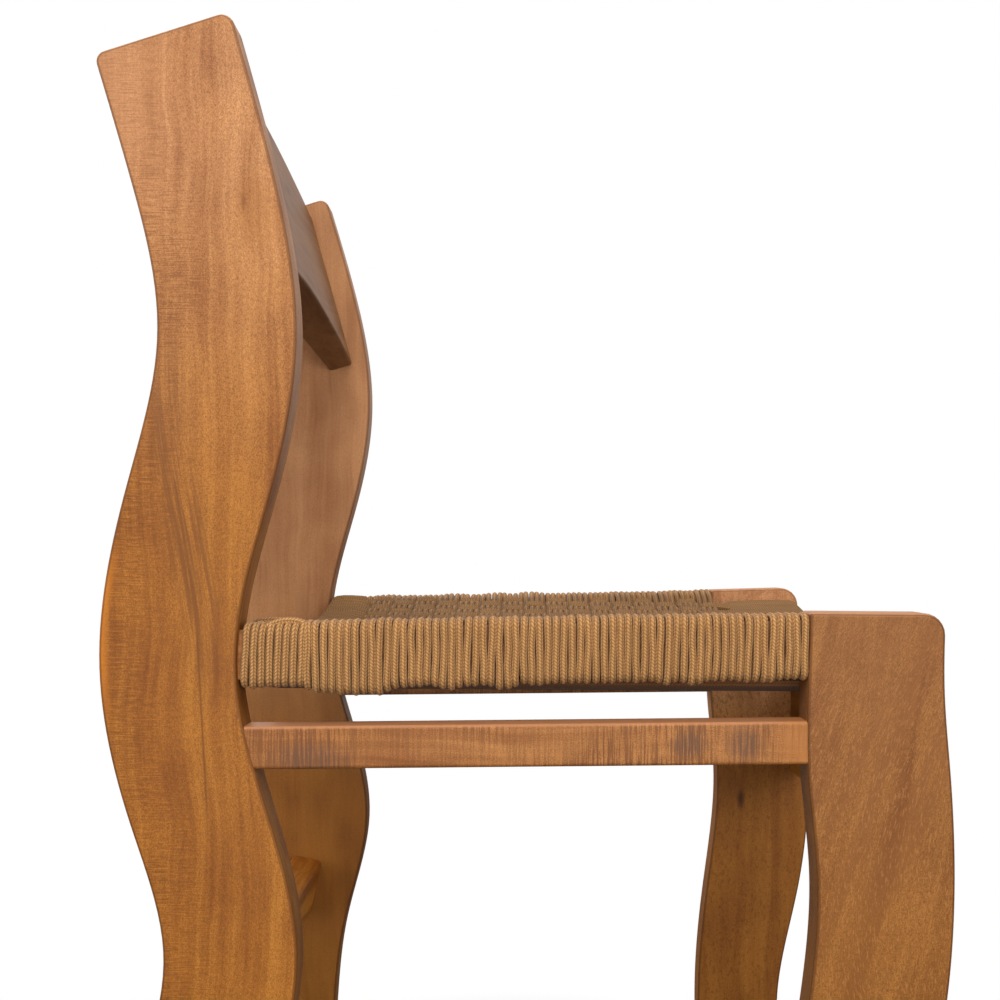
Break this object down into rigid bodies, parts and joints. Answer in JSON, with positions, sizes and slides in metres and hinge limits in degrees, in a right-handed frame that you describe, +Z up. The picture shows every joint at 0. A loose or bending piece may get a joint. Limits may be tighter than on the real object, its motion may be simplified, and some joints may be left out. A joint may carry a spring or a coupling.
{
  "type": "lamu chair",
  "caption": "Armless wooden chair with wavy plank legs, an arched backrest board and a dished seat of woven cord wrapped round its rails.",
  "frame": {"origin": "on the floor below the middle of the chair's box", "axes": "+X towards the front of the seat, +Y towards the chair's left plank, +Z up"},
  "size_m": [0.5433, 0.45, 0.835],
  "materials": {
    "leg_wood": "oiled, matt, fine straight grain with ripple",
    "stretcher_wood": "oiled, matt",
    "backrest_wood": "oiled, matt",
    "rail_wood": "plain sanded wood under the cord",
    "seat_cord": "braided matt cord, basket weave",
    "wrap_cord": "braided matt cord wound side by side"
  },
  "bodies": {
    "root": {"rear_leg_right": "leg_wood", "rear_leg_left": "leg_wood", "front_leg_right": "leg_wood", "front_leg_left": "leg_wood", "side_stretcher_right": "stretcher_wood", "side_stretcher_left": "stretcher_wood", "rear_stretcher": "stretcher_wood", "front_stretcher": "stretcher_wood", "backrest": "backrest_wood", "side_rail_right": "rail_wood", "side_rail_left": "rail_wood", "rear_rail": "rail_wood", "front_rail": "rail_wood", "woven_seat": "seat_cord", "cord_wrap_right": "wrap_cord", "cord_wrap_left": "wrap_cord", "cord_wrap_rear": "wrap_cord", "cord_wrap_front": "wrap_cord"}
  },
  "joints": []
}
